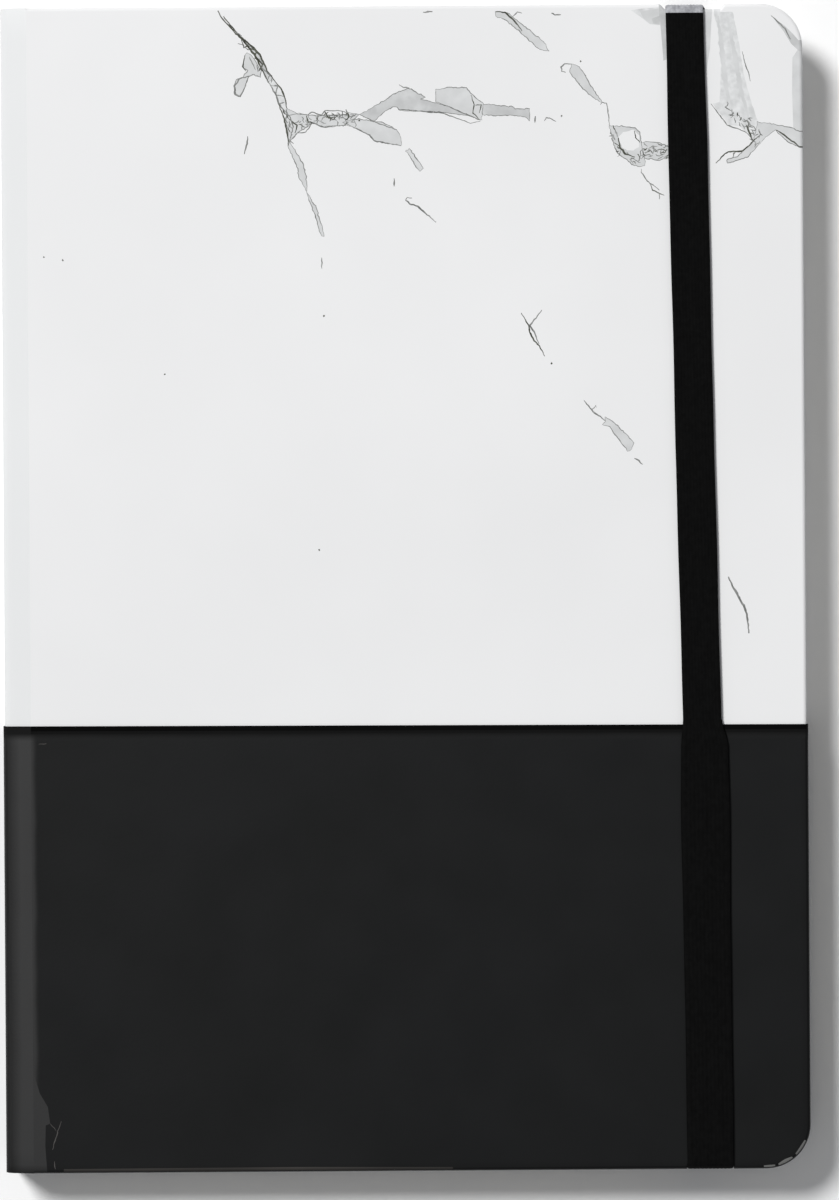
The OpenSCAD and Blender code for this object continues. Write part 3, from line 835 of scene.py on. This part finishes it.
# Painted reflection on the tail's rim and the last strip of the flat before it
TAIL_RIM_REFLECTION = [(-62, -104.2), (-40, -104.15), (-20, -104.1), (8, -104.3), (8, -106), (-62, -106)]
# Creases, drawn as painted highlight lines without relief
CREASES = [
    (0.09, [(-62.4, -95.6), (-63.3, -98.2), (-64, -100.7)]),
    (0.06, [(-64.4, -96), (-63.3, -97.4)]),
    (0.08, [(-63.7, -102.8), (-63.5, -104.2)]),
    (0.09, [(-66, -27.7), (-64.6, -27.6)]),
]
CREASE_SEED = 5
# The two dark strips along the seam: depths, and how far they reach past it
SEAM_STRIP, SEAM_SOFT = 0.9, 1.4
STRIP_END, STRIP_OVER = 80, 1
# Glints round the corner, as (angle from, angle to, depth in mm), with 0 at the fore-edge
GLINTS = [(22, 46, 0.14), (52, 74, 0.3), (78, 94, 0.08)]
GLINT_STEPS = 8
GLINT_PAST = 1.2


def seam_strip(depth):
    """A strip along the seam, in mm in the unmirrored plan."""
    ends = [(x, -seam_at(x * MM) / MM) for x in (-STRIP_END, STRIP_END)]
    return [(x, y - STRIP_OVER) for x, y in ends] + [(x, y + depth) for x, y in reversed(ends)]


def glint(start, stop, depth):
    """A glint on the corner's rim, deepest in its middle, in mm in the unmirrored plan."""
    corner_x, corner_y = ((side - BOARD_CORNER_R) / MM for side in (BOARD_HI.x, BOARD_HI.y))
    radius = (CORNER_R - RIM_R) / MM
    shares = [i / GLINT_STEPS for i in range(GLINT_STEPS + 1)]
    arc = [(radians(start + (stop - start) * s), depth * sin(pi * s)) for s in shares]
    rim = [(radius - fall, a) for a, fall in arc] + [(GLINT_PAST * radius, a) for a, _ in reversed(arc)]
    return [(corner_x + r * cos(a), corner_y + r * sin(a)) for r, a in rim]


def make_front_black():
    rng = random.Random(CREASE_SEED)
    marks = [(BLACK_SPREAD_HIGHLIGHT, SPREAD_HIGHLIGHT), (BLACK_RIM_REFLECTION, TAIL_RIM_REFLECTION)]
    marks += [(BLACK_CREASE_HIGHLIGHT, stroke_outline(points, half_width, rng)) for half_width, points in CREASES]
    marks = [(material, [(x, -y) for x, y in outline]) for material, outline in marks]
    marks += [(BLACK_NEAR_SEAM, seam_strip(SEAM_SOFT)), (BLACK_SEAM, seam_strip(SEAM_STRIP))]
    marks += [(BLACK_GLINT, glint(*place)) for place in GLINTS]
    shapes = [(BLACK_MATERIALS.index(material), outline) for material, outline in marks]
    aside, width = band_line(-COVER_Y)
    dent = (BAND_X + aside, BAND_W / 2 * width + DENT_GAP, DENT_GAP, BAND_T)
    piece = board_covering("front_black", -1, BLACK_T, BLACK_MATERIALS, shapes, BLACK_STEPS, dent)
    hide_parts("front_black_covering")
    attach(piece, "front_cover")


# Joints and folds
COVERS = (("front", False), ("back", True))
STRAIGHT_STEPS = 10
BEND_STEPS = 16
STRIP_STEPS = 24
FOLD_STEPS = 5
FOLD_TIP = 0.02


def straight(a, b, steps):
    return [a + (b - a) * i / steps for i in range(steps + 1)]


def bend(a, b, c, steps):
    """A curve from a to c that is drawn towards b, without a itself."""
    shares = [i / steps for i in range(1, steps + 1)]
    return [(1 - t) ** 2 * a + 2 * t * (1 - t) * b + t * t * c for t in shares]


def joint_line(lo, hi, depth):
    """A joint's section from the board to the spine, at a depth under its outer face."""
    start = np.array([hi.x, hi.z - depth])
    corner = np.array([lo.x + depth, hi.z - depth - SHOULDER_FALL])
    end = np.array([lo.x + depth, lo.z])
    knee = start + SHOULDER_STRAIGHT * (corner - start)
    return straight(start, knee, STRAIGHT_STEPS) + bend(knee, corner, end, BEND_STEPS)


def end_stations(y_from, y_to, thickness, folded_from, folded_to):
    """Stations as (y, share of the thickness), rounded at an end that is folded over."""
    radius = thickness / 2
    rounded = [(radius * (1 - cos(a)), max(sin(a), FOLD_TIP)) for a in quarter_turn(FOLD_STEPS)[:-1]]
    start = y_from + radius if folded_from else y_from
    stop = y_to - radius if folded_to else y_to
    stations = [(y, 1.0) for y in straight(start, stop, STRIP_STEPS)]
    if folded_from:
        stations = [(y_from + off, share) for off, share in rounded] + stations
    if folded_to:
        stations += [(y_to - off, share) for off, share in reversed(rounded)]
    return stations


def strip_mesh(name, outer_line, inner_line, stations, material, mirrored):
    """A strip of one section along Y, thinned to a share at each station."""
    bm = bmesh.new()
    line = list(zip(outer_line, inner_line)) + list(zip(inner_line[::-1], outer_line[::-1]))
    rows = []
    for y, share in stations:
        places = [(a + b) / 2 + (a - b) / 2 * share for a, b in line]
        rows.append([bm.verts.new((x, y, CASE_T - z if mirrored else z)) for x, z in places])
    join_rings(bm, rows)
    bm.faces.new(rows[0])
    bm.faces.new(rows[-1][::-1])
    return finish_mesh(name, bm, [material])


def make_joints():
    """Coverings of the joints, which run from each cover's board over its shoulder to the spine."""
    for cover, mirrored in COVERS:
        for field, skin_t, material in (("marble", MARBLE_T, PRINT_JOINT_SHADE), ("black", BLACK_T, BLACK_JOINT_LIT)):
            lo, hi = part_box(f"front_{field}_joint")
            outer, inner = joint_line(lo, hi, 0.0), joint_line(lo, hi, skin_t)
            stations = end_stations(lo.y, hi.y, skin_t, field == "black", field == "marble")
            piece = strip_mesh(f"{cover}_{field}_fold", outer, inner, stations, material, mirrored)
            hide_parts(f"{cover}_{field}_joint")
            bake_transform(piece)


def make_endpaper_folds():
    """Folds of the endpapers at the joints, turned round the flyleaves' edges."""
    lo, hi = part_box("front_endpaper_fold")
    leaf_lo, leaf_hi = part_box("front_flyleaf")
    thick = leaf_hi.z - leaf_lo.z
    down = np.array([0, thick])
    start, end = np.array([hi.x, hi.z]), np.array([leaf_lo.x, leaf_hi.z + thick])
    angles = quarter_turn(FOLD_STEPS)[1:]
    turn = [np.array([leaf_lo.x - thick * sin(a), leaf_hi.z + thick * cos(a)]) for a in angles]
    outer = straight(start, end, STRIP_STEPS) + turn
    inner = straight(start - down, end - down, STRIP_STEPS) + [end - down] * len(turn)
    stations = [(y, 1.0) for y in straight(lo.y, hi.y, STRIP_STEPS)]
    for cover, mirrored in COVERS:
        piece = strip_mesh(f"{cover}_endpaper_bend", outer, inner, stations, ENDPAPER, mirrored)
        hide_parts(f"{cover}_endpaper_fold")
        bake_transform(piece)


# Leaves
LEAF_COUNT = 80
LEAF_SPREAD = 0.14 * MM
LEAF_GROOVE = 0.1 * MM
# A leaf's start, its end and the groove after it, in shares of its pitch
LEAF_FROM, LEAF_TO, GROOVE_AT = 0.06, 0.86, 0.96
# The edges wave by a share of their inset, with these phases per metre
LEAF_WAVE = 0.4
WAVE_X, WAVE_Y = 23, 37
LEAF_SEED = 8
EDGE_STEPS = 10


def page_outline(z):
    """Points round the pages at a level, as (place, inward direction)."""
    section_t = (PAGES_HI.z - PAGES_LO.z) / SECTION_COUNT
    back_r = section_t / 2
    offset = (z - PAGES_LO.z) % section_t - back_r
    back_x = PAGES_LO.x + back_r - sqrt(max(back_r**2 - offset**2, 0.0))
    r, y1 = PAGE_CORNER_R, PAGES_HI.y
    xc, yc = PAGES_HI.x - r, y1 - r
    arc = [(sin(a), cos(a)) for a in quarter_turn(CORNER_STEPS // 2)]
    tail = [((x, -y1), (0, 1)) for x in np.linspace(back_x, xc, EDGE_STEPS + 1)[:-1]]
    tail += [((xc + r * s, -yc - r * c), (-s, c)) for s, c in arc]
    fore = [((xc + r, y), (-1, 0)) for y in np.linspace(-yc, yc, 2 * EDGE_STEPS + 1)[1:-1]]
    head = [((xc + r * c, yc + r * s), (-c, -s)) for s, c in arc]
    head += [((x, y1), (0, -1)) for x in np.linspace(xc, back_x, EDGE_STEPS + 1)[1:]]
    return tail + fore + head


def leaf_ring(bm, z, inset, phase):
    """One ring round the pages at a level, which waves a little."""
    ring = []
    for (x, y), (in_x, in_y) in page_outline(z):
        wave = 0.5 + 0.5 * sin(phase + WAVE_Y * y + WAVE_X * x)
        depth = inset * (1 - LEAF_WAVE + LEAF_WAVE * wave)
        ring.append(bm.verts.new((x + in_x * depth, y + in_y * depth, z)))
    return ring


def make_pages():
    rng = random.Random(LEAF_SEED)
    bm = bmesh.new()
    leaf_t = (PAGES_HI.z - PAGES_LO.z) / LEAF_COUNT
    rings = []
    for i in range(LEAF_COUNT):
        z = PAGES_LO.z + i * leaf_t
        inset = rng.uniform(0.0, LEAF_SPREAD)
        phase = rng.uniform(0, tau)
        rings.append(leaf_ring(bm, z + LEAF_FROM * leaf_t if i else z, inset, phase))
        rings.append(leaf_ring(bm, z + LEAF_TO * leaf_t, inset, phase))
        if i < LEAF_COUNT - 1:
            rings.append(leaf_ring(bm, z + GROOVE_AT * leaf_t, inset + LEAF_GROOVE, phase))
    rings.append(leaf_ring(bm, PAGES_HI.z, 0.0, 0.0))
    join_rings(bm, rings, smooth=False, index=1)
    bm.faces.new(rings[0][::-1])
    bm.faces.new(rings[-1])
    piece = finish_mesh("leaves", bm, [PAPER, LEAF_EDGES])
    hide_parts("page_block")
    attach(piece, "pages")


# Elastic band
BAND_RIBS = 11
RIB_POINTS = 4
RIB_DEPTH = 0.05 * MM
# Roundness of its edges in half thicknesses
ROUND_ACROSS, ROUND_OUT = 0.8, 0.9
ROUND_STEPS = 5
BAND_STEP = 1.6 * MM
TURN_STEPS = 6
# The bend's painted highlight starts so far before its curve
BEND_LEAD = 0.2 * MM
# It sways and pulses in width: (amount, length over which the phase turns by 1)
BAND_SWAY = (0.05 * MM, 17 * MM)
BAND_PULSES = ((0.008, 9 * MM), (0.006, 4 * MM))


def half_route(reach):
    """The band's middle line as (y, z), from the front's middle to its glued end."""
    half_t = BAND_T / 2
    top = CASE_T + half_t
    out_y = reach - half_t
    slit_y = COVER_Y - SLIT_INSET - half_t
    tab_z = CASE_T - BOARD_LO.z - half_t
    turn = RIM_R + half_t
    curve = [(sin(a), cos(a)) for a in quarter_turn(TURN_STEPS)]
    route = [(0.0, top), (out_y - turn - BEND_LEAD, top)]
    route += [(out_y - turn + turn * s, top - turn + turn * c) for s, c in curve]
    route += [(out_y - half_t + half_t * c, BAND_T - half_t * s) for s, c in curve]
    route += [(slit_y + half_t - half_t * s, BAND_T - half_t * c) for s, c in curve]
    route += [(slit_y - half_t + half_t * c, tab_z - half_t + half_t * s) for s, c in curve]
    route += [(COVER_Y - SLIT_INSET - BAND_TAB, tab_z)]
    return resample(route, BAND_STEP)


def band_route():
    """The whole band. Its tail lies flush with the black field's edge."""
    tail = [np.array([-y, z]) for y, z in half_route(COVER_Y)]
    return tail[:0:-1] + half_route(BAND_HI.y)


def band_section():
    """Ribbed section of the band, counter-clockwise, as (across, out)."""
    half_t = BAND_T / 2
    flat = BAND_W / 2 - half_t * ROUND_ACROSS
    steps = BAND_RIBS * RIB_POINTS
    half = []
    for i in range(steps + 1):
        rib = RIB_DEPTH * (0.5 - 0.5 * cos(tau * i / RIB_POINTS))
        half.append((flat * (2 * i / steps - 1), RIB_DEPTH - half_t - rib))
    for i in range(1, ROUND_STEPS):
        a = pi * (i / ROUND_STEPS - 0.5)
        half.append((flat + half_t * ROUND_ACROSS * cos(a), half_t * ROUND_OUT * sin(a)))
    return half + [(-across, -out) for across, out in half]


def band_row(bm, section, place, ahead):
    """The band's section at a place of its route, square to the way ahead."""
    y, z = place
    aside, width = band_line(y)
    lifted = min(max((z - BAND_T) / (CASE_T - BAND_T), 0.0), 1.0)
    x = BAND_X + (aside + BAND_SWAY[0] * sin(y / BAND_SWAY[1])) * lifted
    width = 1 + (width - 1) * lifted + sum(amount * sin(y / length) for amount, length in BAND_PULSES)
    ahead = ahead / np.linalg.norm(ahead)
    return [bm.verts.new((x + u * width, y - v * ahead[1], z + v * ahead[0])) for u, v in section]


def make_band():
    """The woven band, a little askew over the front, with a painted highlight on its bend at the head."""
    bm = bmesh.new()
    section = band_section()
    route = band_route()
    ways = [b - a for a, b in zip(route[:1] + route[:-1], route[1:] + route[-1:])]
    rows = [band_row(bm, section, place, ahead) for place, ahead in zip(route, ways)]
    bend_y, bend_z = BAND_HI.y - BAND_T - RIM_R - BEND_LEAD - TINY, CASE_T - RIM_R
    for a, b, (y, z) in zip(rows, rows[1:], route):
        join_rings(bm, [a, b], index=int(y > bend_y and z > bend_z))
    bm.faces.new(rows[0])
    bm.faces.new(rows[-1][::-1])
    piece = finish_mesh("band", bm, [ELASTIC, ELASTIC_BEND_HIGHLIGHT])
    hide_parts("elastic_band")
    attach(piece, "back_cover")
    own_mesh(piece)


# CAD nodes that keep their shape
NODE_MATERIALS = {
    "front_flyleaf": ENDPAPER, "back_flyleaf": ENDPAPER,
    "front_pastedown": ENDPAPER, "back_pastedown": ENDPAPER,
    "spine_lining": LINING, "spine_card": CARD,
    "front_board": BOARD, "back_board": BOARD,
    "spine_marble_covering": PRINT, "back_marble_covering": PRINT,
    "spine_black_covering": BLACK_SPINE, "back_black_covering": BLACK,
}


def dress_nodes():
    for node, material in NODE_MATERIALS.items():
        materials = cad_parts[node].data.materials
        if not len(materials):
            materials.append(material)
        for i in range(len(materials)):
            materials[i] = material


# Stage, light and camera
FLOOR_HALF = 3.0
FLOOR_LOW, FLOOR_HIGH = grey(252), grey(250)
FLOOR_PATCH = 0.3
KEY_LEAN = tan(radians(26.5))
KEY_DISTANCE = 4.0
KEY_SIZE = 1.1
KEY_POWER = 143.0
FILL = 0.268
# The even light leans to the tail by this share
FILL_LEAN = 0.35
FILL_COLOUR = (0.985, 1.0, 1.03, 1.0)
BACKGROUND = 0.95
CAMERA_HEIGHT = 0.9
CAMERA_X, CAMERA_Y = 0.8 * MM, 0.65 * MM
CAMERA_TILT, CAMERA_PAN, CAMERA_ROLL = (radians(a) for a in (-0.183, -0.119, -0.38))
CAMERA_LENS = 150.05
SENSOR = 36
CLIP_START, CLIP_END = 0.01, 20


def make_stage():
    bm = bmesh.new()
    corners = [(-1, -1), (1, -1), (1, 1), (-1, 1)]
    bm.faces.new([bm.verts.new((x * FLOOR_HALF, y * FLOOR_HALF, 0)) for x, y in corners])
    material, tree, shader, coords = new_material("floor", specular=0.1, roughness=0.9)
    paint(tree, shader, between(tree, noise(tree, coords, FLOOR_PATCH, 2), FLOOR_LOW, FLOOR_HIGH))
    finish_mesh("floor", bm, [material])


def make_key():
    """A soft disc of light from the side of the spine and the head."""
    direction = Vector((-KEY_LEAN, KEY_LEAN, 1.0)).normalized()
    light = bpy.data.lights.new("key", "AREA")
    light.shape = "DISK"
    light.size = KEY_SIZE
    light.energy = KEY_POWER
    lamp = bpy.data.objects.new("key", light)
    lamp.location = direction * KEY_DISTANCE
    lamp.rotation_mode = "QUATERNION"
    lamp.rotation_quaternion = (-direction).to_track_quat("-Z", "Y")
    bpy.context.scene.collection.objects.link(lamp)


def make_fill():
    """Even light from all round, and a white that only the camera sees."""
    world = bpy.data.worlds.new("studio")
    world.use_nodes = True
    tree = world.node_tree
    background = tree.nodes["Background"]
    background.inputs["Color"].default_value = FILL_COLOUR
    towards = add_node(tree, "SeparateXYZ", {"Vector": add_node(tree, "TexCoord").outputs["Generated"]})
    levels = (FILL * (1 + FILL_LEAN), FILL * (1 - FILL_LEAN))
    fill = map_range(tree, towards.outputs["Y"], (-1, 1), levels)
    seen = add_node(tree, "LightPath").outputs["Is Camera Ray"]
    tree.links.new(map_range(tree, seen, (0, 1), (fill, BACKGROUND)), background.inputs["Strength"])
    bpy.context.scene.world = world


def make_camera():
    """A long lens from above, turned and tilted a little."""
    data = bpy.data.cameras.new("camera")
    data.lens = CAMERA_LENS
    data.sensor_width = SENSOR
    data.clip_start, data.clip_end = CLIP_START, CLIP_END
    camera = bpy.data.objects.new("camera", data)
    camera.location = (CAMERA_X, CAMERA_Y, MARBLE_HI.z + CAMERA_HEIGHT)
    camera.rotation_mode = "ZYX"
    camera.rotation_euler = (CAMERA_TILT, CAMERA_PAN, CAMERA_ROLL)
    bpy.context.scene.collection.objects.link(camera)
    bpy.context.scene.camera = camera


make_camera()
make_key()
make_fill()
make_stage()
dress_nodes()
make_pages()
make_front_marble()
make_front_black()
make_joints()
make_endpaper_folds()
make_band()

bpy.context.scene.view_settings.view_transform = "Standard"
